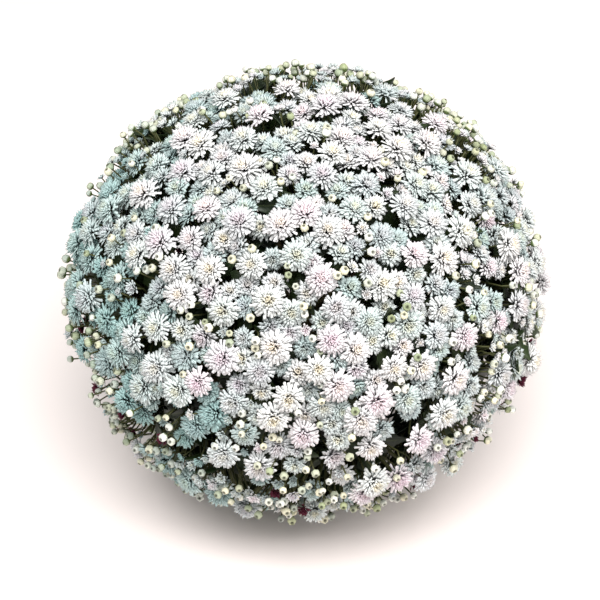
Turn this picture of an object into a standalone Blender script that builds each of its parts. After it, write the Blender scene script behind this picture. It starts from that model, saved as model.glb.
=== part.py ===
# Pot chrysanthemum: a ball of double white flowers on leafy shoots, in a plain nursery pot.
# Metres, +Z up. The origin is the middle of the pot's flat base.

import math
import random

import bmesh
import bpy
from mathutils import Matrix, Vector

GAP = 0.0004
GOLDEN_ANGLE = math.pi * (3 - math.sqrt(5))
SEED = 11

# Pot
POT_HEIGHT = 0.145
POT_RIM_RADIUS = 0.095
POT_BASE_RADIUS = 0.0675
POT_WALL = 0.0022
POT_FLOOR = 0.0030
LIP_WIDTH = 0.004
LIP_DEPTH = 0.014
POT_SEGMENTS = 24
DRAIN_HOLES = 6
DRAIN_RADIUS = 0.005
DRAIN_SIDES = 6
DRAIN_RING = 0.050

# Soil, and the crown that stands in a plain hole in it
SOIL_BELOW_RIM = 0.014
SOIL_DOME = 0.004
SOIL_ROUGHNESS = 0.0012
SOIL_RINGS = 3
CROWN_RADIUS = 0.012
CROWN_DEPTH = 0.040
CROWN_SIDES = 6

# The ball of flowers, an ellipsoid whose surface passes through the flowers' rims
BALL_RADIUS = 0.246
BALL_HALF_HEIGHT = 0.218
BALL_CENTRE = Vector((0, 0, 0.234))
LOWEST_FLOWER = -0.80
FLOWER_COUNT = 440
FLOWER_JITTER = 0.0025
LARGEST_FLOWER = 0.0220
FLOWER_CLEARANCE = 0.0006
HIGH_PETALS = 6
LOW_PETALS = 5
NOTCH = 0.76
HEAD_RISE = 0.38
STALK_RADIUS = 0.0028
STALK_SIDES = 3
LOW_LEVEL = 0.005
LIFT_OUTWARD = 0.30

# Buds
BUD_SITES = 640
BUD_COUNT = 42
BUD_RADIUS = 0.0044
BUD_SIDES = 5
BUD_STALK_RADIUS = 0.0014
BUD_RISE = 0.004
BUD_CLEARANCE = 0.0012

# Stems spread from the heart, a point above the soil, to the shoots
SHOOT_COUNT = 27
LOWEST_SHOOT = -0.66
HEART = Vector((0, 0, 0.200))
HEART_RADIUS = 0.020
STEM_TOP_DEPTH = 0.078
STEM_RADIUS = 0.0036
STEM_SIDES = 3

# The cushion of close-set stalks that carries a spray's flowers, on a foot
CUSHION_SIDES = 9
CUSHION_FILL = 0.90
CUSHION_WIDEST = 0.085
CUSHION_FLOOR = 0.090
CUSHION_DEPTH = 0.023
CUSHION_EDGE = 0.030
ROOT_FILL = 0.90
ROOT_SPACING = 0.010
FOOT_DEPTH = 0.058
FOOT_RADIUS = 0.005
FOOT_SIDES = 4

# The leaves round each shoot
WHORL_DEPTH = 0.068
WHORL_LEAVES = 8
WHORL_FILL = 0.95
WHORL_WIDEST = 0.095
WHORL_FLOOR = 0.070
WHORL_NOTCH = 0.45
WHORL_THICKNESS = 0.006
WHORL_TIP_DEPTH = 0.036
SKIRT_TIP_DEPTH = 0.004
STUB_RADIUS = 0.0040
STUB_SIDES = 4


def clear_scene():
    for obj in list(bpy.data.objects):
        bpy.data.objects.remove(obj, do_unlink=True)


def make_material(name, colour, roughness):
    material = bpy.data.materials.new(name)
    material.use_nodes = True
    shader = material.node_tree.nodes["Principled BSDF"]
    shader.inputs["Base Color"].default_value = (*colour, 1)
    shader.inputs["Roughness"].default_value = roughness
    shader.inputs["Metallic"].default_value = 0
    return material


def to_object(name, bm, material, collection=None):
    mesh = bpy.data.meshes.new(name)
    bmesh.ops.recalc_face_normals(bm, faces=bm.faces)
    if bm.calc_volume(signed=True) < 0:
        bmesh.ops.reverse_faces(bm, faces=bm.faces)
    bm.to_mesh(mesh)
    bm.free()
    mesh.materials.append(material)
    obj = bpy.data.objects.new(name, mesh)
    (collection or bpy.context.scene.collection).objects.link(obj)
    return obj


def fuse(name, parts, material):
    """Joins closed shapes that run into each other into one body."""
    helpers = bpy.data.collections.new(name + "_parts")
    bpy.context.scene.collection.children.link(helpers)
    base = to_object(name, parts[0], material)
    for number, part in enumerate(parts[1:]):
        to_object(f"{name}_part_{number}", part, material, helpers)
    union = base.modifiers.new("Union", "BOOLEAN")
    union.operation = "UNION"
    union.operand_type = "COLLECTION"
    union.collection = helpers
    union.solver = "MANIFOLD"
    graph = bpy.context.evaluated_depsgraph_get()
    fused = bpy.data.meshes.new_from_object(base.evaluated_get(graph))
    base.modifiers.remove(union)
    base.data = fused
    base.data.name = name
    for obj in list(helpers.objects):
        bpy.data.objects.remove(obj, do_unlink=True)
    bpy.data.collections.remove(helpers)
    return base


def on_ball(rise, azimuth):
    """The point of the ball at that rise, from -1 to 1, and azimuth."""
    reach = math.sqrt(1 - rise * rise) * BALL_RADIUS
    return BALL_CENTRE + Vector((reach * math.cos(azimuth), reach * math.sin(azimuth), BALL_HALF_HEIGHT * rise))


def ball_normal(point):
    offset = point - BALL_CENTRE
    squash = (BALL_RADIUS / BALL_HALF_HEIGHT) ** 2
    return Vector((offset.x, offset.y, offset.z * squash)).normalized()


def sunk_in_ball(point, depth):
    """The point moved to that depth below the surface of the ball."""
    offset = point - BALL_CENTRE
    scale = math.hypot(offset.x / BALL_RADIUS, offset.y / BALL_RADIUS, offset.z / BALL_HALF_HEIGHT)
    surface = BALL_CENTRE + offset / scale
    return surface - ball_normal(surface) * depth


def spiral(count, lowest):
    """Evenly spread (rise, azimuth) places, from the top of the ball down to the lowest."""
    for index in range(count):
        yield 1 - (index + 0.5) / count * (1 - lowest), index * GOLDEN_ANGLE


def nearest_distance(point, points):
    return min((point - other).length for other in points if other is not point)


def frame_at(point, direction, turn=0.0):
    """A frame at the point whose Z runs along the direction."""
    tilt = direction.to_track_quat("Z", "Y").to_matrix().to_4x4()
    return Matrix.Translation(point) @ tilt @ Matrix.Rotation(turn, 4, "Z")


def ring(bm, centre, direction, radius, sides):
    made = bmesh.ops.create_circle(bm, segments=sides, radius=radius, matrix=frame_at(centre, direction))
    return made["verts"]


def edges_within(verts):
    chosen = set(verts)
    return [edge for edge in {edge for vert in verts for edge in vert.link_edges} if set(edge.verts) <= chosen]


def join_rings(bm, rings):
    """Joins open rings of points into one closed shape, with a cap on the first and the last."""
    for lower, upper in zip(rings, rings[1:]):
        bmesh.ops.bridge_loops(bm, edges=edges_within(lower) + edges_within(upper))
    bmesh.ops.contextual_create(bm, geom=rings[0])
    bmesh.ops.contextual_create(bm, geom=rings[-1])
    bmesh.ops.triangulate(bm, faces=bm.faces)


def tube(stations, sides):
    """A closed tube through (centre, direction, radius) stations."""
    bm = bmesh.new()
    join_rings(bm, [ring(bm, centre, direction, radius, sides) for centre, direction, radius in stations])
    return bm


def star_rim(bm, points, outer, notch):
    """A flat star outline round the origin, filled with a fan."""
    made = bmesh.ops.create_circle(bm, segments=2 * points, radius=outer, cap_ends=True, cap_tris=True)
    rim = [vert for vert in made["verts"] if vert.co.length > outer / 2]
    rim.sort(key=lambda vert: math.atan2(vert.co.y, vert.co.x))
    for vert in rim[1::2]:
        vert.co *= notch
    return rim


def remove_root(bm, root):
    """Opens the face between the root's points, so that a stalk can grow from its edges."""
    face = next(face for face in root[0].link_faces if set(face.verts) == set(root))
    edges = list(face.edges)
    bmesh.ops.delete(bm, geom=[face], context="FACES_ONLY")
    return edges


class Flower:
    """A flower head whose underside narrows to its root."""

    stalk_radius = STALK_RADIUS

    def __init__(self, place, facing, radius, petals, turn):
        self.place = place
        self.facing = facing
        self.radius = radius
        self.petals = petals
        self.turn = turn

    def grow(self, bm, root):
        head = bmesh.new()
        rim = star_rim(head, self.petals, self.radius, NOTCH)
        for vert in head.verts:
            if vert not in rim:
                vert.co.z = self.radius * HEAD_RISE
        head.transform(frame_at(self.place, self.facing, self.turn))
        mesh = bpy.data.meshes.new("head")
        head.to_mesh(mesh)
        head.free()
        known = len(bm.verts)
        bm.from_mesh(mesh)
        bpy.data.meshes.remove(mesh)
        bm.verts.ensure_lookup_table()
        border = {edge for vert in bm.verts[known:] for edge in vert.link_edges if edge.is_boundary}
        bmesh.ops.bridge_loops(bm, edges=list(border) + remove_root(bm, root))


class Bud:
    """A round bud on a thin stalk."""

    stalk_radius = BUD_STALK_RADIUS

    def __init__(self, place):
        self.place = place

    def grow(self, bm, root):
        middle = sum((vert.co for vert in root), Vector()) / len(root)
        along = (self.place - middle).normalized()
        neck = ring(bm, self.place - along * BUD_RADIUS, along, BUD_STALK_RADIUS, STALK_SIDES)
        bmesh.ops.bridge_loops(bm, edges=remove_root(bm, root) + edges_within(neck))
        widest = ring(bm, self.place, along, BUD_RADIUS, BUD_SIDES)
        bmesh.ops.bridge_loops(bm, edges=edges_within(neck) + edges_within(widest))
        tip = bm.verts.new(self.place + along * BUD_RADIUS)
        for edge in edges_within(widest):
            if edge.is_boundary:
                bm.faces.new((*edge.verts, tip))


class Shoot:
    """One side shoot: its stem's end, its leaves and the flower spray on top."""

    def __init__(self, rise, azimuth):
        self.top = on_ball(rise, azimuth)
        self.outward = ball_normal(self.top)
        self.heads = []

    def below(self, depth):
        return self.top - self.outward * depth


def spokes(shoot, shoots, depth, count, turn, fill, widest, floor):
    """Points round the shoot's axis, each a share of the way to the next shoot's space, or down to the floor."""
    centre = shoot.below(depth)
    frame = frame_at(Vector((0, 0, 0)), shoot.outward, turn)
    points = []
    for number in range(count):
        angle = math.tau * number / count
        direction = frame @ Vector((math.cos(angle), math.sin(angle), 0))
        reach = widest
        if direction.z < 0:
            reach = min(reach, (centre.z - floor) / -direction.z)
        for other in shoots:
            away = other.below(depth) - centre
            ahead = direction.dot(away)
            if ahead > 0:
                reach = min(reach, away.length_squared / (2 * ahead) * fill)
        points.append(centre + direction * reach)
    return points


def nearest_shoot(point, shoots):
    return min(shoots, key=lambda shoot: (shoot.top - point).length)


def grown_radii(points):
    """Radii that let each flower grow until it meets a neighbour."""
    radii = [nearest_distance(point, points) / 2 for point in points]
    for number, point in enumerate(points):
        rooms = [(point - other).length - radii[index] for index, other in enumerate(points) if index != number]
        radii[number] = min(min(rooms), LARGEST_FLOWER)
    return [radius - FLOWER_CLEARANCE for radius in radii]


def plan_flowers(shoots, draw):
    """Places every flower on the ball and gives it to the nearest shoot."""
    points = []
    for rise, azimuth in spiral(FLOWER_COUNT, LOWEST_FLOWER):
        point = on_ball(rise, azimuth)
        jitter = Vector([draw.uniform(-1, 1) for _ in range(3)]) * FLOWER_JITTER
        points.append(sunk_in_ball(point + jitter, 0))
    for number, (point, radius) in enumerate(zip(points, grown_radii(points))):
        low = number % 2
        petals = LOW_PETALS if low else HIGH_PETALS
        normal = ball_normal(point)
        facing = (normal + Vector((0, 0, LIFT_OUTWARD)) * max(0, 0.3 - normal.z)).normalized()
        place = point - normal * low * LOW_LEVEL
        head = Flower(place, facing, radius, petals, draw.uniform(0, math.tau))
        nearest_shoot(point, shoots).heads.append(head)


def plan_buds(shoots):
    """Puts buds into the spaces between the flowers, spread evenly over the ball."""
    flowers = [head for shoot in shoots for head in shoot.heads]
    sites = []
    for rise, azimuth in spiral(BUD_SITES, LOWEST_FLOWER):
        point = sunk_in_ball(on_ball(rise, azimuth), -BUD_RISE)
        room = min((point - flower.place).length - flower.radius for flower in flowers)
        if room > BUD_RADIUS + BUD_CLEARANCE:
            sites.append(point)
    for number in range(BUD_COUNT):
        point = sites[number * len(sites) // BUD_COUNT]
        nearest_shoot(point, shoots).heads.append(Bud(point))


def profile_solid(points):
    """Turns a closed (radius, height) outline round Z, with its ends on the axis."""
    bm = bmesh.new()
    verts = [bm.verts.new((radius, 0, height)) for radius, height in points]
    edges = [bm.edges.new(pair) for pair in zip(verts, verts[1:])]
    bmesh.ops.spin(
        bm,
        geom=verts + edges,
        cent=(0, 0, 0),
        axis=(0, 0, 1),
        angle=math.tau,
        steps=POT_SEGMENTS,
        use_merge=True,
    )
    bmesh.ops.remove_doubles(bm, verts=bm.verts, dist=1e-6)
    return bm


def pot_radius(height):
    return POT_BASE_RADIUS + (POT_RIM_RADIUS - POT_BASE_RADIUS) * height / POT_HEIGHT


def make_pot(material):
    lip_base = POT_HEIGHT - LIP_DEPTH
    outline = [
        (0, 0),
        (POT_BASE_RADIUS - 0.002, 0),
        (POT_BASE_RADIUS, 0.002),
        (pot_radius(lip_base), lip_base),
        (pot_radius(lip_base) + LIP_WIDTH, lip_base + 0.001),
        (POT_RIM_RADIUS + LIP_WIDTH, POT_HEIGHT - 0.001),
        (POT_RIM_RADIUS + LIP_WIDTH - 0.001, POT_HEIGHT),
        (POT_RIM_RADIUS - POT_WALL, POT_HEIGHT),
        (pot_radius(POT_FLOOR) - POT_WALL, POT_FLOOR),
        (0, POT_FLOOR),
    ]
    pot = to_object("pot", profile_solid(outline), material)
    cutters = bmesh.new()
    for number in range(DRAIN_HOLES):
        angle = math.tau * number / DRAIN_HOLES
        centre = (DRAIN_RING * math.cos(angle), DRAIN_RING * math.sin(angle), POT_FLOOR / 2)
        bmesh.ops.create_cone(
            cutters,
            cap_ends=True,
            segments=DRAIN_SIDES,
            radius1=DRAIN_RADIUS,
            radius2=DRAIN_RADIUS,
            depth=POT_FLOOR * 3,
            matrix=Matrix.Translation(centre),
        )
    cutter = to_object("drain_cutter", cutters, material)
    cutter.hide_render = True
    cutter.display_type = "WIRE"
    cut = pot.modifiers.new("Drain holes", "BOOLEAN")
    cut.operation = "DIFFERENCE"
    cut.object = cutter
    return pot


def make_soil(material, draw):
    """Soil up to just below the rim, with crumbs raised on its top and a blind hole in the middle."""
    top = POT_HEIGHT - SOIL_BELOW_RIM
    floor = POT_FLOOR + GAP
    hole = CROWN_RADIUS + GAP
    wall = pot_radius(top) - POT_WALL - GAP
    outline = [
        (0, floor),
        (pot_radius(floor) - POT_WALL - GAP, floor),
        (wall, top),
    ]
    for step in range(1, SOIL_RINGS + 1):
        share = step / SOIL_RINGS
        outline.append((wall + (hole - wall) * share, top + SOIL_DOME * math.sin(share * math.pi / 2)))
    outline += [(hole, top + SOIL_DOME - CROWN_DEPTH - GAP), (0, top + SOIL_DOME - CROWN_DEPTH - GAP)]
    bm = profile_solid(outline)
    for vert in bm.verts:
        reach = math.hypot(vert.co.x, vert.co.y)
        if vert.co.z > top and hole + 0.001 < reach < wall - 0.001:
            vert.co.z += draw.uniform(-1, 1) * SOIL_ROUGHNESS
    return to_object("soil", bm, material)


def make_stems(shoots, material):
    """The woody crown, and one stem out to each shoot."""
    up = Vector((0, 0, 1))
    base = Vector((0, 0, POT_HEIGHT - SOIL_BELOW_RIM + SOIL_DOME - CROWN_DEPTH))
    crown = tube(
        [
            (base, up, CROWN_RADIUS),
            (HEART - up * HEART_RADIUS * 1.6, up, CROWN_RADIUS * 0.85),
            (HEART - up * HEART_RADIUS * 0.2, up, HEART_RADIUS * 0.9),
            (HEART + up * HEART_RADIUS * 0.6, up, HEART_RADIUS * 0.7),
        ],
        CROWN_SIDES,
    )
    parts = [crown]
    for shoot in shoots:
        end = shoot.below(STEM_TOP_DEPTH)
        away = (end - HEART).normalized()
        start = HEART + away * HEART_RADIUS * 0.2
        parts.append(tube([(start, away, STEM_RADIUS), (end, shoot.outward, STEM_RADIUS)], STEM_SIDES))
    return fuse("stems", parts, material)


def make_shoot(number, shoot, shoots, material, draw):
    """A ring of leaves that rise from a short stalk, in one thin blade, cut deep between the leaves."""
    outward = shoot.outward
    turn = draw.uniform(0, math.tau)
    tips = spokes(shoot, shoots, WHORL_DEPTH, 2 * WHORL_LEAVES, turn, WHORL_FILL, WHORL_WIDEST, WHORL_FLOOR)
    centre = shoot.below(WHORL_DEPTH)
    bm = bmesh.new()
    rim = []
    for index, tip in enumerate(tips):
        below_flowers = sunk_in_ball(tip, 0).z < on_ball(LOWEST_FLOWER, 0).z
        edge = sunk_in_ball(tip, SKIRT_TIP_DEPTH if below_flowers else WHORL_TIP_DEPTH)
        rim.append(bm.verts.new(centre.lerp(edge, WHORL_NOTCH) if index % 2 else edge))
    for first, second in zip(rim, rim[1:] + rim[:1]):
        bm.edges.new((first, second))
    half = WHORL_THICKNESS / 2
    depths = [STEM_TOP_DEPTH - GAP, WHORL_DEPTH + half, WHORL_DEPTH - half, FOOT_DEPTH + GAP]
    rings = [ring(bm, shoot.below(depth), outward, STUB_RADIUS, STUB_SIDES) for depth in depths]
    join_rings(bm, rings[:2] + [rim] + rings[2:])
    return to_object(f"shoot_{number:02d}", bm, material)


def cushion_corners(shoot, shoots, fill):
    return spokes(shoot, shoots, CUSHION_EDGE, CUSHION_SIDES, 0, fill, CUSHION_WIDEST, CUSHION_FLOOR)


def root_point(place, shoot, corners, taken):
    """A free spot on the cushion's top below the place, or as near to it as the cushion reaches."""
    middle = sunk_in_ball(shoot.top, CUSHION_DEPTH)
    spot = sunk_in_ball(place, CUSHION_DEPTH)
    sideways = (spot - middle).normalized()
    reach = min(
        (corner - middle).length * ROOT_FILL
        for corner in corners
        if (corner - middle).normalized().dot(sideways) > math.cos(math.tau / CUSHION_SIDES)
    )
    distance = min((spot - middle).length, reach)
    spot = sunk_in_ball(middle + sideways * distance, CUSHION_DEPTH)
    while any((spot - other).length < ROOT_SPACING for other in taken):
        distance -= ROOT_SPACING / 4
        spot = sunk_in_ball(middle + sideways * distance, CUSHION_DEPTH)
    return spot


def add_root(bm, spot, radius):
    """The three points from which a stalk grows."""
    root = ring(bm, spot, ball_normal(spot), radius, STALK_SIDES)
    for vert in root:
        vert.co = sunk_in_ball(vert.co, CUSHION_DEPTH)
    return root


def make_spray(number, shoot, shoots, material):
    """The flowers and buds of one shoot, standing out of its cushion."""
    bm = bmesh.new()
    corners = cushion_corners(shoot, shoots, CUSHION_FILL)
    for corner in corners:
        bm.verts.new(sunk_in_ball(corner, CUSHION_EDGE))
    ring(bm, shoot.below(FOOT_DEPTH), shoot.outward, FOOT_RADIUS, FOOT_SIDES)
    taken = []
    heads = []
    for head in sorted(shoot.heads, key=lambda head: (head.place - shoot.top).length, reverse=True):
        taken.append(root_point(head.place, shoot, corners, taken))
        heads.append((head, add_root(bm, taken[-1], head.stalk_radius)))
    bmesh.ops.convex_hull(bm, input=bm.verts)
    for head, root in heads:
        head.grow(bm, root)
    bmesh.ops.triangulate(bm, faces=bm.faces)
    return to_object(f"spray_{number:02d}", bm, material)


def main():
    clear_scene()
    draw = random.Random(SEED)
    petal_white = make_material("petal_white", (0.86, 0.86, 0.83), 0.55)
    leaf_green = make_material("leaf_green", (0.045, 0.10, 0.035), 0.6)
    stem_green = make_material("stem_green", (0.13, 0.13, 0.06), 0.75)
    peat = make_material("peat", (0.035, 0.022, 0.014), 0.95)
    pot_plastic = make_material("pot_plastic", (0.35, 0.13, 0.07), 0.6)

    make_pot(pot_plastic)
    make_soil(peat, draw)
    shoots = [Shoot(rise, azimuth) for rise, azimuth in spiral(SHOOT_COUNT, LOWEST_SHOOT)]
    plan_flowers(shoots, draw)
    plan_buds(shoots)
    make_stems(shoots, stem_green)
    for number, shoot in enumerate(shoots, 1):
        make_shoot(number, shoot, shoots, leaf_green, draw)
        make_spray(number, shoot, shoots, petal_white)


main()
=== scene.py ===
import itertools
import math
import random

import bmesh
import bpy
from mathutils import Matrix, Vector, noise


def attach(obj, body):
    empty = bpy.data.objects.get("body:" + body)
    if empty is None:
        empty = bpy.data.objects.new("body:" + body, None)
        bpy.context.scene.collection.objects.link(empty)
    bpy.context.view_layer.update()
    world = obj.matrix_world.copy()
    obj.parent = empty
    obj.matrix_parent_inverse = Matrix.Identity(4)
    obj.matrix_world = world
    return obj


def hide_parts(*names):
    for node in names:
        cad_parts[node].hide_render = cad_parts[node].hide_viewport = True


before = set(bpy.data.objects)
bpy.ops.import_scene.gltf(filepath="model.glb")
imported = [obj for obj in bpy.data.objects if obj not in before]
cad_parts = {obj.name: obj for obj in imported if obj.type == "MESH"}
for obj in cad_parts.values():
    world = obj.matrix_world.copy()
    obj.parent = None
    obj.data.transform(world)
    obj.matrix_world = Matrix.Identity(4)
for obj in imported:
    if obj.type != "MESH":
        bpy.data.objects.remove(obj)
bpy.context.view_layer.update()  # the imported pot, soil, stems, shoots and sprays
print("frame loaded:", len(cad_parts), "nodes")

# The ball that the flowers cover, and the shoots that carry them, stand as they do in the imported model.
ball = {
    "radius": 0.246,
    "halfHeight": 0.218,
    "centre": Vector((0, 0, 0.234)),
    "lowestFlower": -0.80,
    "goldenAngle": math.pi * (3 - math.sqrt(5)),
}


def onBall(rise, azimuth):  # rise runs from -1 at the bottom to 1 at the top
    reach = math.sqrt(max(0.0, 1 - rise * rise)) * ball["radius"]
    offset = Vector((reach * math.cos(azimuth), reach * math.sin(azimuth), ball["halfHeight"] * rise))
    return ball["centre"] + offset


def ballNormal(point):
    offset = point - ball["centre"]
    return Vector((offset.x, offset.y, offset.z * (ball["radius"] / ball["halfHeight"]) ** 2)).normalized()


def sunkInBall(point, depth):  # the point moved to that depth below the ball's surface
    offset = point - ball["centre"]
    scale = math.hypot(offset.x / ball["radius"], offset.y / ball["radius"], offset.z / ball["halfHeight"])
    surface = ball["centre"] + offset / scale
    return surface - ballNormal(surface) * depth


def riseOf(point):
    return (point.z - ball["centre"].z) / ball["halfHeight"]


def spiral(count, lowest):
    for index in range(count):
        yield 1 - (index + 0.5) / count * (1 - lowest), index * ball["goldenAngle"]


def frameAt(point, direction):  # a frame at the point whose Z runs along the direction
    return Matrix.Translation(point) @ direction.to_track_quat("Z", "Y").to_matrix().to_4x4()


def eitherWay(draw, most):  # a random number from -most to most
    return draw.uniform(-most, most)


def anyWay(draw, most):  # a random vector, no longer than that on each axis
    return Vector([eitherWay(draw, most) for _ in range(3)])


def between(pair, share):
    return pair[0] + (pair[1] - pair[0]) * share


def clamped(value, most=1.0):
    return min(most, max(0.0, value))


class Value:  # a node's output, so that shader maths is written as plain expressions
    def __init__(self, finish, socket):
        self.finish = finish
        self.socket = socket

    def maths(self, operation, first, second):
        return self.finish.node("ShaderNodeMath", {"operation": operation}, {0: first, 1: second})

    def __sub__(self, other):
        return self.maths("SUBTRACT", self, other)

    def __rsub__(self, other):
        return self.maths("SUBTRACT", other, self)

    def __mul__(self, other):
        return self.maths("MULTIPLY", self, other)

    def __rmul__(self, other):
        return self.maths("MULTIPLY", other, self)


class Finish:  # one material and the ways to wire it
    def __init__(self, name, **settings):
        self.material = bpy.data.materials.new(name)
        self.material.use_nodes = True
        self.tree = self.material.node_tree
        self.shader = self.tree.nodes["Principled BSDF"]
        for socket, value in settings.items():
            self.shader.inputs[socket.replace("_", " ")].default_value = value

    def node(self, kind, settings, values, output=0):
        made = self.tree.nodes.new(kind)
        for name, value in settings.items():
            setattr(made, name, value)
        for place, value in values.items():
            self.feed(made.inputs[place], value)
        return Value(self, made.outputs[output])

    def feed(self, socket, value):
        if isinstance(value, Value):
            self.tree.links.new(value.socket, socket)
        elif isinstance(value, tuple) and socket.type == "RGBA":
            socket.default_value = (*value, 1)
        else:
            socket.default_value = value

    def parts(self, attribute):  # the three numbers of an attribute
        read = self.node("ShaderNodeAttribute", {"attribute_name": attribute}, {}, "Vector")
        split = self.tree.nodes.new("ShaderNodeSeparateXYZ")
        self.feed(split.inputs[0], read)
        return [Value(self, split.outputs[axis]) for axis in range(3)]

    def mix(self, share, first, second):
        return self.node("ShaderNodeMix", {"data_type": "RGBA"}, {0: share, 6: first, 7: second}, 2)

    def fade(self, value, low, high, start=0.0, end=1.0):  # a smooth step from low to high
        values = {0: value, 1: low, 2: high, 3: start, 4: end}
        return self.node("ShaderNodeMapRange", {"interpolation_type": "SMOOTHSTEP"}, values)

    def grain(self, size, detail, stretch=(1, 1, 1)):  # noise on Object coordinates, about that size
        place = self.node("ShaderNodeTexCoord", {}, {}, "Object")
        laid = self.node("ShaderNodeMapping", {}, {0: place, 3: stretch})
        return self.node("ShaderNodeTexNoise", {}, {"Vector": laid, "Scale": 1 / size, "Detail": detail})

    def colour(self, value):
        self.feed(self.shader.inputs["Base Color"], value)

    def roughness(self, value):
        self.feed(self.shader.inputs["Roughness"], value)

    def bump(self, height, distance, strength):
        values = {"Strength": strength, "Distance": distance, "Height": height}
        self.feed(self.shader.inputs["Normal"], self.node("ShaderNodeBump", {}, values))

    def ribs(self, across, count, height, strength):  # fine ribs that run along a petal
        self.bump(self.node("ShaderNodeMath", {"operation": "SINE"}, {0: across * count}), height, strength)


# Each flower's vertices hold petalTone (how far along the petal, how far across, a lot drawn for it) and
# bloomTone (the flower's painted shade, above 1 for a faded flower, its blush, and 1 at its middle to 0 at
# its edge).
petalLook = {
    "white": (0.81, 0.81, 0.80),
    "pinkish": (0.83, 0.77, 0.80),
    # the petal root's colour: its own green, darkened as painted shade
    "root": (0.68, 0.69, 0.60),
    "warm": (0.84, 0.70, 0.44),
    "blush": (0.80, 0.63, 0.71),
    "paintedShadeTeal": (0.29, 0.47, 0.455),
    "grey": (0.58, 0.60, 0.60),
    "faded": (0.10, 0.012, 0.030),
    "rootEnd": 0.45,
    "blushInside": (0.35, 0.95),
    "warmInside": (0.60, 1.0),
    "warmMost": 0.7,
    "greyMost": 0.25,
    "fadedShade": (1.2, 1.8),  # other flowers have a shade below 1
    "ribs": 9.0,
    "ribHeight": 0.00015,
}


def petalFinish():
    finish = Finish("petalWhite", Roughness=0.6, Specular_IOR_Level=0.25)
    along, across, lot = finish.parts("petalTone")
    shade, blush, inner = finish.parts("bloomTone")
    petal = finish.mix(blush, petalLook["white"], petalLook["pinkish"])
    # Greener toward the root, which is the petal's own colour, and darker there, which is painted shade deep
    # in the flower.
    colour = finish.mix(finish.fade(along, 0.0, petalLook["rootEnd"]), petalLook["root"], petal)
    blushing = blush * finish.fade(inner, *petalLook["blushInside"])
    colour = finish.mix(blushing, colour, petalLook["blush"])
    warming = (1 - blush) * finish.fade(inner, *petalLook["warmInside"], 0.0, petalLook["warmMost"])
    colour = finish.mix(warming, colour, petalLook["warm"])
    colour = finish.mix(lot * petalLook["greyMost"], colour, petalLook["grey"])
    # Painted shade: teal mixed in as far as the flower's shade value says.
    colour = finish.mix(shade, colour, petalLook["paintedShadeTeal"])
    colour = finish.mix(finish.fade(shade, *petalLook["fadedShade"]), colour, petalLook["faded"])
    finish.colour(colour)
    finish.ribs(across, petalLook["ribs"], petalLook["ribHeight"], 0.5)
    return finish.material


# A bud has the same two attributes, with along from its foot to its tip.
budLook = {
    "cream": (0.78, 0.74, 0.56),
    "white": (0.84, 0.84, 0.78),
    "green": (0.34, 0.38, 0.21),
    # the grey-teal of painted shade on a bud
    "paintedShade": (0.33, 0.40, 0.34),
    "calyx": (0.10, 0.14, 0.045),
    # the bud's dark heart, deepened as painted shade in its dimple
    "eye": (0.035, 0.035, 0.015),
    "whiteBlush": (0.1, 0.6),
    "greenLot": (0.45, 1.0),
    "calyxAlong": (0.42, 0.22),
    "eyeAlong": (0.90, 1.0),
    "ribs": 40.0,
    "ribHeight": 0.0003,
}


def budFinish():
    finish = Finish("budCream", Roughness=0.55, Specular_IOR_Level=0.3)
    along, across, lot = finish.parts("petalTone")
    shade, blush, _ = finish.parts("bloomTone")
    ripe = finish.mix(finish.fade(blush, *budLook["whiteBlush"]), budLook["cream"], budLook["white"])
    colour = finish.mix(finish.fade(lot, *budLook["greenLot"]), ripe, budLook["green"])
    # Painted shade: grey-teal mixed in as far as the bud's shade value says.
    colour = finish.mix(shade, colour, budLook["paintedShade"])
    colour = finish.mix(finish.fade(along, *budLook["calyxAlong"]), colour, budLook["calyx"])
    # Near black at the tip, where the dimple is: the bud's own dark heart, deepened as painted shade in the
    # hollow.
    colour = finish.mix(finish.fade(along, *budLook["eyeAlong"]), colour, budLook["eye"])
    finish.colour(colour)
    finish.ribs(across, budLook["ribs"], budLook["ribHeight"], 0.6)
    return finish.material


# A leaf's vertices hold leafTone: how far along it, -1 and 1 at its edges, and a lot drawn for the leaf.
leafLook = {
    "deep": (0.004, 0.012, 0.003),
    "olive": (0.024, 0.042, 0.008),
    "rib": (0.055, 0.072, 0.026),
    "ribEdge": (0.16, 0.02),
    "ribMost": 0.6,
    "mottle": 0.006,
    "mottleMost": 0.35,
    "crinkle": 0.003,
    "crinkleHeight": 0.0006,
}


def leafFinish():
    finish = Finish("leafGreen", Roughness=0.5, Specular_IOR_Level=0.4)
    _, across, lot = finish.parts("leafTone")
    colour = finish.mix(lot, leafLook["deep"], leafLook["olive"])
    fromRib = finish.node("ShaderNodeMath", {"operation": "ABSOLUTE"}, {0: across})
    rib = finish.fade(fromRib, *leafLook["ribEdge"], 0.0, leafLook["ribMost"])
    colour = finish.mix(rib, colour, leafLook["rib"])
    mottle = finish.grain(leafLook["mottle"], 3.0)
    finish.colour(finish.mix(mottle * leafLook["mottleMost"], colour, leafLook["deep"]))
    finish.bump(finish.grain(leafLook["crinkle"], 3.0), leafLook["crinkleHeight"], 0.6)
    return finish.material


stalkLook = {
    "green": (0.035, 0.050, 0.014),
    "brown": (0.085, 0.078, 0.028),
    "streak": 0.004,
    "stretch": (1, 1, 0.3),
}


def stalkFinish():
    finish = Finish("stalkGreen", Roughness=0.6, Specular_IOR_Level=0.3)
    streaks = finish.grain(stalkLook["streak"], 2.0, stalkLook["stretch"])
    finish.colour(finish.mix(streaks, stalkLook["green"], stalkLook["brown"]))
    return finish.material


woodLook = {
    "dark": (0.055, 0.040, 0.022),
    "pale": (0.14, 0.13, 0.06),
    "bark": 0.006,
    "barkEdge": (0.35, 0.65),
    "stretch": (1, 1, 0.25),
    "barkHeight": 0.001,
}


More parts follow.
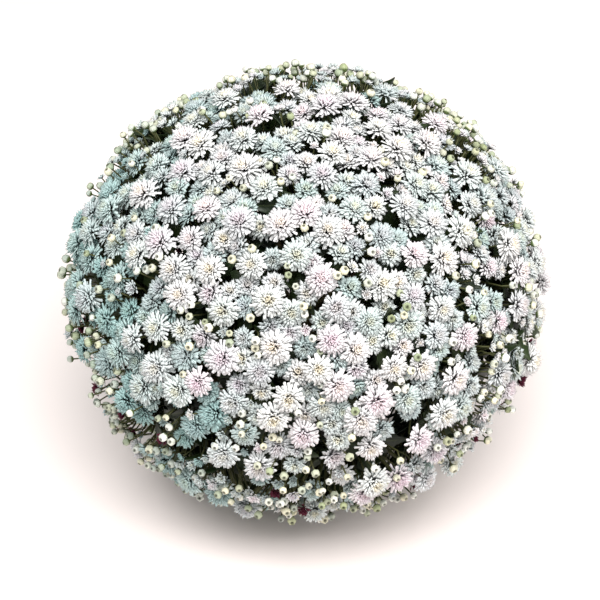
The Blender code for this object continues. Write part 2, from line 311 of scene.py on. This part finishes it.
def woodFinish():
    finish = Finish("crownWood", Roughness=0.8, Specular_IOR_Level=0.2)
    bark = finish.grain(woodLook["bark"], 5.0, woodLook["stretch"])
    finish.colour(finish.mix(finish.fade(bark, *woodLook["barkEdge"]), woodLook["dark"], woodLook["pale"]))
    finish.bump(bark, woodLook["barkHeight"], 0.8)
    return finish.material


soilLook = {
    "wet": (0.012, 0.008, 0.005),
    "dry": (0.075, 0.050, 0.032),
    "fleck": (0.55, 0.53, 0.48),
    "crumb": 0.004,
    "crumbHeight": 0.003,
    "fleckSize": 0.0028,
    "fleckEdge": (0.70, 0.74),
}


def soilFinish():
    finish = Finish("pottingSoil", Roughness=0.95, Specular_IOR_Level=0.2)
    crumbs = finish.grain(soilLook["crumb"], 6.0)
    colour = finish.mix(crumbs, soilLook["wet"], soilLook["dry"])
    flecks = finish.fade(finish.grain(soilLook["fleckSize"], 0.0), *soilLook["fleckEdge"])
    finish.colour(finish.mix(flecks, colour, soilLook["fleck"]))
    finish.bump(crumbs, soilLook["crumbHeight"], 1.0)
    return finish.material


potLook = {
    "plastic": (0.016, 0.024, 0.018),
    "dust": (0.075, 0.075, 0.062),
    "speck": (0.11, 0.095, 0.075),
    "dustSize": 0.03,
    "dustEdge": (0.35, 0.75),
    "speckSize": 0.0025,
    "speckEdge": (0.62, 0.70),
    "most": 0.5,
    "shine": (0.45, 0.65),  # the roughness of clean and dusty plastic
    "shineEdge": (0.3, 0.7),
    "pits": 0.0012,
    "pitDepth": 0.0002,
}


def potFinish():
    finish = Finish("potPlastic", Specular_IOR_Level=0.4)
    dust = finish.grain(potLook["dustSize"], 4.0)
    dusty = finish.fade(dust, *potLook["dustEdge"], 0.0, potLook["most"])
    colour = finish.mix(dusty, potLook["plastic"], potLook["dust"])
    speck = finish.grain(potLook["speckSize"], 2.0)
    speck = finish.fade(speck, *potLook["speckEdge"], 0.0, potLook["most"])
    finish.colour(finish.mix(speck, colour, potLook["speck"]))
    finish.roughness(finish.fade(dust, *potLook["shineEdge"], *potLook["shine"]))
    finish.bump(finish.grain(potLook["pits"], 2.0), potLook["pitDepth"], 0.5)
    return finish.material


petalWhite = petalFinish()
budCream = budFinish()
leafGreen = leafFinish()
stalkGreen = stalkFinish()
bloomFinishes = [petalWhite, budCream, stalkGreen]
budSlot, stalkSlot = 1, 2
print("finishes made")

for name, material in (("pot", potFinish()), ("soil", soilFinish()), ("stems", woodFinish())):
    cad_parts[name].material_slots[0].material = material

# The petals of each kind of flower, set in a spiral from its middle out. The pairs hold the first and last
# petal's reach (a share of the flower's radius), lift and curl (degrees) and width. The outermost petals, as
# many as fine says, are cut more finely.
bloomForms = {
    "full": {
        "petals": 184,
        "fine": 40,
        "reach": (0.44, 1.0),
        "lift": (82, -2),
        "curl": (26, -8),
        "wide": (0.11, 0.20),
    },
    "lower": {
        "petals": 104,
        "fine": 0,
        "reach": (0.44, 1.0),
        "lift": (80, 0),
        "curl": (26, -8),
        "wide": (0.14, 0.27),
    },
    "small": {
        "petals": 50,
        "fine": 0,
        "reach": (0.55, 1.0),
        "lift": (86, 20),
        "curl": (30, 16),
        "wide": (0.20, 0.32),
    },
}
petalShape = {
    "cuts": 2,
    "fineCuts": 3,
    "root": 0.05,
    "thick": 0.045,
    "cup": 0.10,
    "blunt": 2.2,
    "taper": (0.45, 1.15),  # its width at the root and at the tip, as a share of the form's width
    "reachBend": 0.6,
    "liftBend": 0.65,
    "ragged": 0.17,
    "unruly": 13,  # degrees
    "turnSpread": 0.12,
    "wideSpread": (0.85, 1.1),
    "kinds": 5,
}


def toneLayers(bm):
    layers = bm.verts.layers.float_vector
    return [layers.get(name) or layers.new(name) for name in ("petalTone", "bloomTone")]


# A thin closed petal of a flower of radius 1.
def addPetal(bm, turn, cuts, reach, lift, curl, wide, layer, draw):
    petalTone, bloomTone = toneLayers(bm)
    lot = draw.random()
    length = reach - petalShape["root"]
    made = bmesh.ops.create_uvsphere(bm, u_segments=3, v_segments=cuts, radius=1)
    for vert in made["verts"]:
        girth = math.sqrt(max(0.0001, 1 - vert.co.z ** 2))  # kept off 0 at the two poles
        along = 1 - max(0.0, (1 - vert.co.z) / 2) ** petalShape["blunt"]
        side = vert.co.y / girth / math.sin(math.tau / 3)  # -1 and 1 at the petal's edges, 0 at its keel
        slope = lift + curl * along
        middle = lift + curl * along / 2
        rise = -vert.co.x * petalShape["thick"] + side * side * petalShape["cup"] * wide * girth
        outward = petalShape["root"] + length * along * math.cos(middle) - rise * math.sin(slope)
        upward = length * along * math.sin(middle) + rise * math.cos(slope)
        half = side * girth * wide / 2 * between(petalShape["taper"], along)
        vert.co = Vector((outward, half, upward))
        vert[petalTone] = Vector((along, side, lot))
        vert[bloomTone] = Vector((0, 0, layer))
    bmesh.ops.rotate(bm, cent=(0, 0, 0), matrix=Matrix.Rotation(turn, 3, "Z"), verts=made["verts"])


def bloomTemplate(kind, draw):
    form = bloomForms[kind]
    bm = bmesh.new()
    for index in range(form["petals"]):
        share = (index + draw.uniform(0, 1)) / form["petals"]
        turn = index * ball["goldenAngle"] + eitherWay(draw, petalShape["turnSpread"])
        reach = between(form["reach"], share ** petalShape["reachBend"])
        reach *= 1 + draw.uniform(-1, 0.5) * petalShape["ragged"]
        lift = between(form["lift"], share ** petalShape["liftBend"])
        lift = math.radians(lift + eitherWay(draw, petalShape["unruly"]))
        curl = math.radians(between(form["curl"], share) + eitherWay(draw, petalShape["unruly"]))
        wide = between(form["wide"], share) * draw.uniform(*petalShape["wideSpread"])
        cuts = petalShape["fineCuts" if form["petals"] - index <= form["fine"] else "cuts"]
        addPetal(bm, turn, cuts, reach, lift, curl, wide, 1 - share, draw)
    return toTemplate(kind, bm)


def toTemplate(name, bm):
    bmesh.ops.recalc_face_normals(bm, faces=bm.faces)
    for face in bm.faces:
        face.smooth = True
    mesh = bpy.data.meshes.new(name + "Template")
    bm.to_mesh(mesh)
    bm.free()
    return mesh


budShape = {"around": 6, "along": 6, "dimple": 0.50}


def budTemplate():  # a round bud of radius 1 in a shallow calyx, dimpled where its petals meet
    bm = bmesh.new()
    petalTone, _ = toneLayers(bm)
    around, along = budShape["around"], budShape["along"]
    made = bmesh.ops.create_uvsphere(bm, u_segments=around, v_segments=along, radius=1)
    for vert in made["verts"]:
        angle = math.atan2(vert.co.y, vert.co.x)
        vert[petalTone] = Vector(((vert.co.z + 1) / 2, angle / math.pi, 0))
        if vert.co.z > 0.95:  # only the pole
            vert.co.z -= budShape["dimple"]
    for face in bm.faces:
        face.material_index = budSlot
    return toTemplate("bud", bm)


leafShape = {
    "rows": 7,
    "wide": 0.60,
    "leastWide": 0.07,
    "start": 0.06,
    "lean": 0.8,
    "plump": 0.7,
    "lobes": 3.4,
    "lobeDepth": 0.42,
    "fold": 0.22,
    "droop": 0.25,
    "twist": 0.2,
    "thick": 0.014,
    "kinds": 4,
}


def leafTemplate(draw):  # a lobed leaf 1 long, its stalk end at the origin, its face up
    bm = bmesh.new()
    leafTone = bm.verts.layers.float_vector.new("leafTone")
    bmesh.ops.create_grid(bm, x_segments=leafShape["rows"], y_segments=2, size=0.5)
    twist = eitherWay(draw, leafShape["twist"])
    for vert in bm.verts:
        along, side = vert.co.x + 0.5, vert.co.y * 2
        shifted = min(1, leafShape["start"] + (1 - leafShape["start"]) * along)
        body = math.sin(math.pi * shifted ** leafShape["lean"]) ** leafShape["plump"]
        lobe = 1 - leafShape["lobeDepth"] * (0.5 + 0.5 * math.cos(math.tau * leafShape["lobes"] * along))
        half = leafShape["wide"] / 2 * max(leafShape["leastWide"], body * lobe)
        height = leafShape["fold"] * half * abs(side) - leafShape["droop"] * along * along
        vert.co = Vector((along, side * half, height + side * twist * along * half))
        vert[leafTone] = Vector((along, side, 0))
    bmesh.ops.solidify(bm, geom=bm.faces, thickness=leafShape["thick"])
    return toTemplate("leaf", bm)


# What grows on the ball, in metres. Depth is below the ball's surface, apart is the least room between two
# centres of a kind, and clear is the share of an earlier head's radius that stays free round a new centre.
headKinds = {
    "full": {
        "count": 520,
        "radius": (0.0145, 0.0184),
        "depth": (0.0, 0.005),
        "jitter": 0.008,
        "lean": 0.18,
    },
    "lower": {
        "count": 720,
        "radius": (0.0125, 0.0150),
        "depth": (0.009, 0.018),
        "apart": 0.0160,
        "clear": 0.0,
    },
    "faded": {
        "count": 60,
        "radius": (0.0060, 0.0095),
        "depth": (0.002, 0.008),
        "apart": 0.0120,
        "clear": 0.60,
    },
    "small": {
        "count": 640,
        "radius": (0.0060, 0.0095),
        "depth": (0.0, 0.010),
        "apart": 0.0125,
        "clear": 0.60,
    },
    "bud": {
        "count": 1250,
        "radius": (0.0035, 0.0048),
        "depth": (-0.009, 0.005),
        "apart": 0.0064,
        "clear": 0.52,
    },
}
planting = {
    "seed": 23,
    "sites": 12000,
    "siteJitter": 0.004,
    "lowestHead": -0.92,
    "depthSpread": (-0.001, 0.002),
    "lean": 0.35,
    "liftOutward": 0.75,  # how far the heads low on the ball turn up to the light
    "liftBelow": 0.3,
    "latePatches": [  # the direction of each patch that flowers late, and how wide it is in degrees
        ((0.10, 0.62, 0.78), 27),
        ((0.62, 0.44, 0.65), 31),
        ((-0.62, 0.30, 0.72), 17),
        ((-0.60, 0.75, 0.28), 18),
    ],
    "lateEdge": 1.6,
    "lateRise": 0.006,
    "valleyGrain": 22,
    "valleyDepth": 0.014,
    "gapGrain": 50,
    "gapSpread": 0.8,
}


class Head:  # one flower or bud
    def __init__(self, kind, point, depth, radius, lean):
        self.kind = kind
        self.point = point
        self.radius = radius
        normal = ballNormal(point)
        lift = Vector((0, 0, planting["liftOutward"])) * max(0, planting["liftBelow"] - normal.z)
        self.facing = (normal + lift + lean).normalized()
        self.place = point - normal * depth
        self.depth = depth


class Plot:  # heads sorted into cells, so that a point's neighbours are found fast
    cell = 0.034

    def __init__(self, heads=()):
        self.cells = {}
        for head in heads:
            self.add(head)

    def corner(self, point):
        return [math.floor(axis / self.cell) for axis in point]

    def add(self, head):
        self.cells.setdefault(tuple(self.corner(head.point)), []).append(head)

    def room(self, point, clear):  # the least distance to a head's centre, less that share of its radius
        x, y, z = self.corner(point)
        near = [
            head
            for cell in itertools.product((x - 1, x, x + 1), (y - 1, y, y + 1), (z - 1, z, z + 1))
            for head in self.cells.get(cell, ())
        ]
        return min(((point - head.point).length - clear * head.radius for head in near), default=1.0)


def lateness(point):  # 1 in the middle of a patch that flowers late, 0 outside all of them
    normal = ballNormal(point)
    apart = min(math.degrees(normal.angle(Vector(way))) / wide for way, wide in planting["latePatches"])
    return clamped(planting["lateEdge"] - planting["lateEdge"] * apart)


# Where the flowers stand further apart: low on the ball, toward its left and right, and just behind its top.
thinning = {
    "low": {"start": 0.28, "over": 0.62, "most": 0.82},
    "left": {"start": -0.08, "slope": 2.1},
    "right": {"start": 0.08, "slope": 5, "end": 0.22, "fall": 8, "most": 0.40},
    "crest": {"slope": 6, "end": 0.21, "lowest": 0.2, "climb": 4, "most": 0.6},
}


def openness(point):  # 0 where the flowers stand close, 1 where nearly none do
    low, left, right, crest = thinning["low"], thinning["left"], thinning["right"], thinning["crest"]
    rise = riseOf(point)
    onLow = min(low["most"], (low["start"] - rise) / low["over"])
    onLeft = left["slope"] * (left["start"] - point.x)
    rightward = min(right["slope"] * (point.x - right["start"]), right["fall"] * (right["end"] - point.x))
    backward = min(crest["slope"] * point.y, crest["slope"] * (crest["end"] - point.y))
    onCrest = min(crest["most"], backward, crest["climb"] * (rise - crest["lowest"]))
    return min(1.0, max(0.0, onLow, min(right["most"], rightward), onCrest) + max(0.0, onLeft))


def patchiness(point):
    return noise.noise(point * planting["valleyGrain"])


def valley(point):  # how far the flowers sink between two sprays
    return planting["valleyDepth"] * max(0.0, patchiness(point))


def leafy(point):  # where a sprig of leaves takes the flowers' room
    return any(
        (onBall(rise, math.radians(azimuth)) - point).length < leafPlan["sprigRoom"] * spread
        for rise, azimuth, _, spread, _ in leafPlan["sprigs"]
    )


# How readily each kind takes a site: what it starts from, and what a valley, a late patch and thinning add.
# For full flowers it is the chance that one is left out. Buds grow most of all in the skirt, low on the ball.
tastes = {
    "full": {"late": 0.70, "open": 0.86, "valley": 14},
    "lower": {
        "base": 0.69,
        "valley": -0.6,
        "late": -0.6,
        "open": -0.62,
        "lowest": ball["lowestFlower"] - 0.02,
    },
    "small": {"base": 0.66, "valley": 0.8, "late": 0.2, "open": -0.56, "lowest": -0.88},
    "bud": {
        "base": 0.42,
        "valley": 0.9,
        "late": 0.7,
        "open": 0.0,
        "skirt": 0.5,
        "skirtTop": -0.66,
        "luckTop": 1.1,
    },
    "faded": {"lowest": -0.85, "highest": 0.1, "grain": 13, "least": 0.15},
}


def leftOut(point):
    taste = tastes["full"]
    return (
        taste["late"] * lateness(point) + taste["open"] * openness(point)
        + taste["valley"] * valley(point) + leafy(point)
    )


def welcome(kind, point):  # whether that kind may grow there
    taste = tastes[kind]
    rise = riseOf(point)
    if kind == "faded":
        field = noise.noise(point * taste["grain"])
        return taste["lowest"] < rise < taste["highest"] and field > taste["least"]
    if kind == "lower" and leafy(point):
        return False
    luck = 0.5 + planting["gapSpread"] * noise.noise(point * planting["gapGrain"])
    patch = patchiness(point)
    if kind == "lower":
        patch = max(0, patch)
    liking = taste["base"] + taste["valley"] * patch + taste["late"] * lateness(point)
    liking += taste["open"] * openness(point)
    if kind == "bud":
        return taste["luckTop"] - luck < liking + (taste["skirt"] if rise < taste["skirtTop"] else 0)
    return rise > taste["lowest"] and luck < liking


def plantFull(draw):  # the full flowers, on a loose spiral
    kind = headKinds["full"]
    chosen = []
    for index, (rise, azimuth) in enumerate(spiral(kind["count"], ball["lowestFlower"])):
        point = sunkInBall(onBall(rise, azimuth) + anyWay(draw, kind["jitter"]), 0)
        depth = kind["depth"][index % 2] + draw.uniform(*planting["depthSpread"]) + valley(point)
        if draw.random() > leftOut(point):
            radius = draw.uniform(*kind["radius"])
            chosen.append(Head("full", point, depth, radius, anyWay(draw, kind["lean"])))
    print("planted full", len(chosen))
    return chosen


def plantKind(name, sites, others, draw):  # flowers or buds in what room the others leave
    kind = headKinds[name]
    taken, plot, chosen = Plot(others), Plot(), []
    for point in sites:
        if len(chosen) == kind["count"]:
            break
        if not welcome(name, point):
            continue
        radius = draw.uniform(*kind["radius"])
        limit = kind["apart"] if name == "lower" else radius
        if taken.room(point, kind["clear"]) < limit or plot.room(point, 0) < kind["apart"]:
            continue
        depth = draw.uniform(*kind["depth"]) - planting["lateRise"] * lateness(point) * draw.random()
        chosen.append(Head(name, point, depth, radius, anyWay(draw, planting["lean"])))
        plot.add(chosen[-1])
    print("planted", name, len(chosen))
    return chosen


def plantHeads():
    draw = random.Random(planting["seed"])
    planted = plantFull(draw)
    sites = [
        sunkInBall(onBall(rise, azimuth) + anyWay(draw, planting["siteJitter"]), 0)
        for rise, azimuth in spiral(planting["sites"], planting["lowestHead"])
    ]
    draw.shuffle(sites)
    for name in ("lower", "faded", "small", "bud"):
        planted += plantKind(name, sites, planted, draw)
    return planted


shootPlan = {"count": 27, "lowest": -0.66, "footDepth": 0.058, "seed": 5}
shootTops = [onBall(rise, azimuth) for rise, azimuth in spiral(shootPlan["count"], shootPlan["lowest"])]


def shootFoot(top):
    return top - ballNormal(top) * shootPlan["footDepth"]


def nearestShoot(point):
    return min(range(len(shootTops)), key=lambda index: (shootTops[index] - point).length)


def copyInto(bm, template, matrix, tones):  # adds a copy of the template, and tones(vert) sets its values
    start = len(bm.verts)
    bm.from_mesh(template)
    bm.verts.ensure_lookup_table()
    fresh = bm.verts[start:]
    bmesh.ops.transform(bm, matrix=matrix, verts=fresh)
    for vert in fresh:
        tones(vert)


def makePiece(name, bm, materials, node):
    mesh = bpy.data.meshes.new(name)
    bm.to_mesh(mesh)
    bm.free()
    for material in materials:
        mesh.materials.append(material)
    piece = bpy.data.objects.new(name, mesh)
    bpy.context.scene.collection.objects.link(piece)
    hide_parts(node)
    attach(piece, "root")


stalkShape = {
    "sides": 3,
    "neck": 0.014,
    "joinDepth": 0.040,
    "towardFoot": 0.35,
    "radii": (0.0009, 0.0009, 0.0016),
    "underBud": 0.9,  # where it starts below the head's middle, as a share of the head's radius
    "underFlower": 0.02,
}


def stalkPoints(head, foot):
    under = head.radius * stalkShape["underBud" if head.kind == "bud" else "underFlower"]
    neck = head.place - head.facing * stalkShape["neck"]
    join = sunkInBall(head.point, stalkShape["joinDepth"]).lerp(foot, stalkShape["towardFoot"])
    return [head.place - head.facing * under, neck, join]


def ringEdges(verts):
    chosen = set(verts)
    touching = {edge for vert in verts for edge in vert.link_edges}
    return [edge for edge in touching if set(edge.verts) <= chosen]


def stalkMesh(points):  # a closed tube through the points
    bm = bmesh.new()
    toneLayers(bm)
    rings = []
    for index, (point, radius) in enumerate(zip(points, stalkShape["radii"])):
        ahead = points[min(index + 1, len(points) - 1)] - points[max(index - 1, 0)]
        place = frameAt(point, ahead.normalized())
        made = bmesh.ops.create_circle(bm, segments=stalkShape["sides"], radius=radius, matrix=place)
        rings.append(made["verts"])
    for lower, upper in zip(rings, rings[1:]):
        bmesh.ops.bridge_loops(bm, edges=ringEdges(lower) + ringEdges(upper))
    bmesh.ops.contextual_create(bm, geom=rings[0])
    bmesh.ops.contextual_create(bm, geom=rings[-1])
    for face in bm.faces:
        face.material_index = stalkSlot
    return toTemplate("stalk", bm)


# Painted shade: the flowers turn to teal toward the lower left and the back, and where they sink below their
# neighbours, as if shaded there.
paintedShading = {
    "edge": 0.0,
    "width": 0.20,
    "slant": 0.11,
    "most": 0.54,
    "sunkDepth": 0.014,
    "sunk": (0.32, 0.50),  # the painted shade that a sunk flower adds on the lit side and on the shaded one
    "back": 0.25,
    "backSlope": 8,
    "spread": 0.30,
    "highest": 0.9,
}
bloomSpread = {"tall": (1.0, 1.4), "tallBud": (0.85, 1.10), "blush": (-0.3, 1.0), "fadedShade": 2.0}


# A head's shade value: painted shade from the settings above, plus a random spread of its own tone; a faded
# flower gets a value above 1 for its own maroon.
def shadeOf(head, draw):
    sunk = clamped(head.depth / paintedShading["sunkDepth"])
    left = paintedShading["edge"] - head.point.x - paintedShading["slant"] * riseOf(head.point)
    paintedShade = clamped(left / paintedShading["width"])
    shadeAmount = paintedShade * paintedShading["most"] + sunk * between(paintedShading["sunk"], paintedShade)
    shadeAmount += paintedShading["back"] * clamped(paintedShading["backSlope"] * head.point.y)
    shade = clamped(shadeAmount + eitherWay(draw, paintedShading["spread"]), paintedShading["highest"])
    return bloomSpread["fadedShade"] if head.kind == "faded" else shade


def makeBlooms(number, top, heads, templates, draw):  # one spray: its stalks, flowers and buds
    bm = bmesh.new()
    petalTone, bloomTone = toneLayers(bm)
    for head in heads:
        stalk = stalkMesh(stalkPoints(head, shootFoot(top)))
        bm.from_mesh(stalk)
        bpy.data.meshes.remove(stalk)
        turn = Matrix.Rotation(draw.uniform(0, math.tau), 4, "Z")
        tall = draw.uniform(*bloomSpread["tallBud" if head.kind == "bud" else "tall"])
        size = Matrix.Diagonal((head.radius, head.radius, head.radius * tall, 1))
        shade = shadeOf(head, draw)
        blush = max(0.0, draw.uniform(*bloomSpread["blush"]))
        unripe = draw.random()

        def tones(vert):
            if head.kind == "bud":
                vert[petalTone] = Vector((vert[petalTone].x, vert[petalTone].y, unripe))
            vert[bloomTone] = Vector((shade, blush, vert[bloomTone].z))

        template = draw.choice(templates[head.kind])
        copyInto(bm, template, frameAt(head.place, head.facing) @ turn @ size, tones)
    makePiece(f"blooms_{number:02d}", bm, bloomFinishes, f"spray_{number:02d}")


leafPlan = {
    "perShoot": 28,
    "length": (0.034, 0.054),
    "sink": (0.014, 0.036),
    "rootDepth": (0.030, 0.050),
    "towardFoot": (0.0, 0.3),
    "aimSpread": 0.040,
    "spin": 0.7,
    "whorl": 7,
    "whorlDepth": 0.066,
    "whorlSpread": 0.2,
    "whorlLift": 0.35,
    "whorlLength": (0.050, 0.070),
    # Sprigs that reach out between the flowers: rise, azimuth in degrees, how many leaves, how far they
    # spread and how far out they reach.
    "sprigs": [
        (0.12, -25, 26, 0.030, 0.014),
        (-0.84, -75, 18, 0.030, 0.010),
        (-0.86, -100, 14, 0.030, 0.008),
        (-0.84, -130, 10, 0.020, 0.010),
        (-0.84, -45, 12, 0.026, 0.008),
        (-0.86, 20, 8, 0.030, 0.006),
        (-0.86, 95, 10, 0.030, 0.006),
        (-0.86, 160, 8, 0.030, 0.006),
        (0.72, 60, 16, 0.030, 0.003),
        (0.80, 110, 16, 0.030, 0.003),
        (0.70, 150, 18, 0.030, 0.003),
        (0.45, 30, 10, 0.026, 0.002),
        (0.20, 150, 8, 0.026, 0.004),
    ],
    "sprigRoom": 0.7,
    "sprigLength": (0.026, 0.040),
    "sprigDepth": 0.022,
    "sprigAim": 0.030,
}


def makeLeaves(number, top, heads, templates, draw):  # one shoot's leaves, with the sprigs nearest to it
    bm = bmesh.new()
    leafTone = bm.verts.layers.float_vector.new("leafTone")
    foot = shootFoot(top)

    def addLeaf(root, tip, length):
        outward = (tip - root).normalized()
        side = ballNormal(root).cross(outward).normalized()
        flat = Matrix((outward, side, outward.cross(side))).transposed().to_4x4()
        spin = Matrix.Rotation(eitherWay(draw, leafPlan["spin"]), 4, "X")
        lot = draw.random()

        def tones(vert):
            vert[leafTone] = Vector((vert[leafTone].x, vert[leafTone].y, lot))

        place = Matrix.Translation(root) @ flat @ spin @ Matrix.Scale(length, 4)
        copyInto(bm, draw.choice(templates), place, tones)

    for _ in range(leafPlan["perShoot"]):
        head = draw.choice(heads)
        root = sunkInBall(head.point, draw.uniform(*leafPlan["rootDepth"]))
        root = root.lerp(foot, draw.uniform(*leafPlan["towardFoot"]))
        aim = sunkInBall(root + anyWay(draw, leafPlan["aimSpread"]), draw.uniform(*leafPlan["sink"]))
        addLeaf(root, aim, draw.uniform(*leafPlan["length"]))
    for rise, azimuth, count, spread, reach in leafPlan["sprigs"]:
        middle = onBall(rise, math.radians(azimuth))
        if shootTops[nearestShoot(middle)] != top:
            continue
        for _ in range(count):
            root = sunkInBall(middle + anyWay(draw, spread), leafPlan["sprigDepth"])
            tip = sunkInBall(root + anyWay(draw, leafPlan["sprigAim"]), -draw.uniform(0, reach))
            addLeaf(root, tip, draw.uniform(*leafPlan["sprigLength"]))
    middle = top - ballNormal(top) * leafPlan["whorlDepth"]
    tilt = frameAt(Vector((0, 0, 0)), ballNormal(top))
    for index in range(leafPlan["whorl"]):
        angle = math.tau * (index + eitherWay(draw, leafPlan["whorlSpread"])) / leafPlan["whorl"]
        way = tilt @ Vector((math.cos(angle), math.sin(angle), leafPlan["whorlLift"]))
        addLeaf(middle, middle + way, draw.uniform(*leafPlan["whorlLength"]))
    makePiece(f"leaves_{number:02d}", bm, [leafGreen], f"shoot_{number:02d}")


shares = [[] for _ in shootTops]
for head in plantHeads():
    shares[nearestShoot(head.point)].append(head)

draw = random.Random(shootPlan["seed"])
blooms = {kind: [bloomTemplate(kind, draw) for _ in range(petalShape["kinds"])] for kind in bloomForms}
blooms["faded"] = blooms["small"]
blooms["bud"] = [budTemplate()]
leaves = [leafTemplate(draw) for _ in range(leafShape["kinds"])]
print("templates made")

for number, (top, share) in enumerate(zip(shootTops, shares), 1):
    makeBlooms(number, top, share, blooms, draw)
    makeLeaves(number, top, share, leaves, draw)
print("sprays and leaves grown")

for mesh in [mesh for mesh in bpy.data.meshes if not mesh.users]:
    bpy.data.meshes.remove(mesh)

stageSetup = {
    "floorSize": 12.0,
    "floorColour": (0.90, 0.815, 0.797),
    "skyColour": (0.94, 1.0, 0.985, 1),
    "sky": 0.45,
    "lens": 99.6,
    "elevation": 38.0,
    "distance": 1.75,
    "target": Vector((-0.004, 0.0, 0.219)),
}
lampSetup = {
    "keyLight": {
        "power": 186.0,
        "size": (3.3, 1.6),
        "colour": (1.0, 0.99, 0.975),
        "place": Vector((0.03, -1.50, 3.05)),
    },
    "sideLight": {
        "power": 28.0,
        "size": (1.2, 1.2),
        "colour": (1.0, 0.98, 0.95),
        "place": Vector((2.60, -1.10, 1.90)),
    },
}


def makeFloor():
    bm = bmesh.new()
    bmesh.ops.create_grid(bm, x_segments=1, y_segments=1, size=stageSetup["floorSize"] / 2)
    mesh = bpy.data.meshes.new("floor")
    bm.to_mesh(mesh)
    bm.free()
    finish = Finish("paleFloor", Roughness=0.9, Specular_IOR_Level=0.1)
    finish.colour(stageSetup["floorColour"])
    mesh.materials.append(finish.material)
    floor = bpy.data.objects.new("floor", mesh)
    bpy.context.scene.collection.objects.link(floor)


def makeLight(name):
    setup = lampSetup[name]
    light = bpy.data.lights.new(name, "AREA")
    light.energy = setup["power"]
    light.shape = "RECTANGLE"
    light.size, light.size_y = setup["size"]
    light.color = setup["colour"]
    lamp = bpy.data.objects.new(name, light)
    bpy.context.scene.collection.objects.link(lamp)
    lamp.location = setup["place"]
    lamp.rotation_euler = (ball["centre"] - setup["place"]).to_track_quat("-Z", "Y").to_euler()


def makeCamera():
    slope = math.radians(stageSetup["elevation"])
    away = Vector((0, -math.cos(slope), math.sin(slope)))
    camera = bpy.data.cameras.new("camera")
    camera.lens = stageSetup["lens"]
    holder = bpy.data.objects.new("camera", camera)
    bpy.context.scene.collection.objects.link(holder)
    holder.location = stageSetup["target"] + away * stageSetup["distance"]
    holder.rotation_euler = (-away).to_track_quat("-Z", "Y").to_euler()
    bpy.context.scene.camera = holder


def makeSky():
    world = bpy.data.worlds.new("studio")
    world.use_nodes = True
    world.node_tree.nodes["Background"].inputs["Color"].default_value = stageSetup["skyColour"]
    world.node_tree.nodes["Background"].inputs["Strength"].default_value = stageSetup["sky"]
    bpy.context.scene.world = world


makeFloor()
for name in lampSetup:
    makeLight(name)
makeCamera()
makeSky()
bpy.context.scene.view_settings.view_transform = "Standard"
print("stage set")
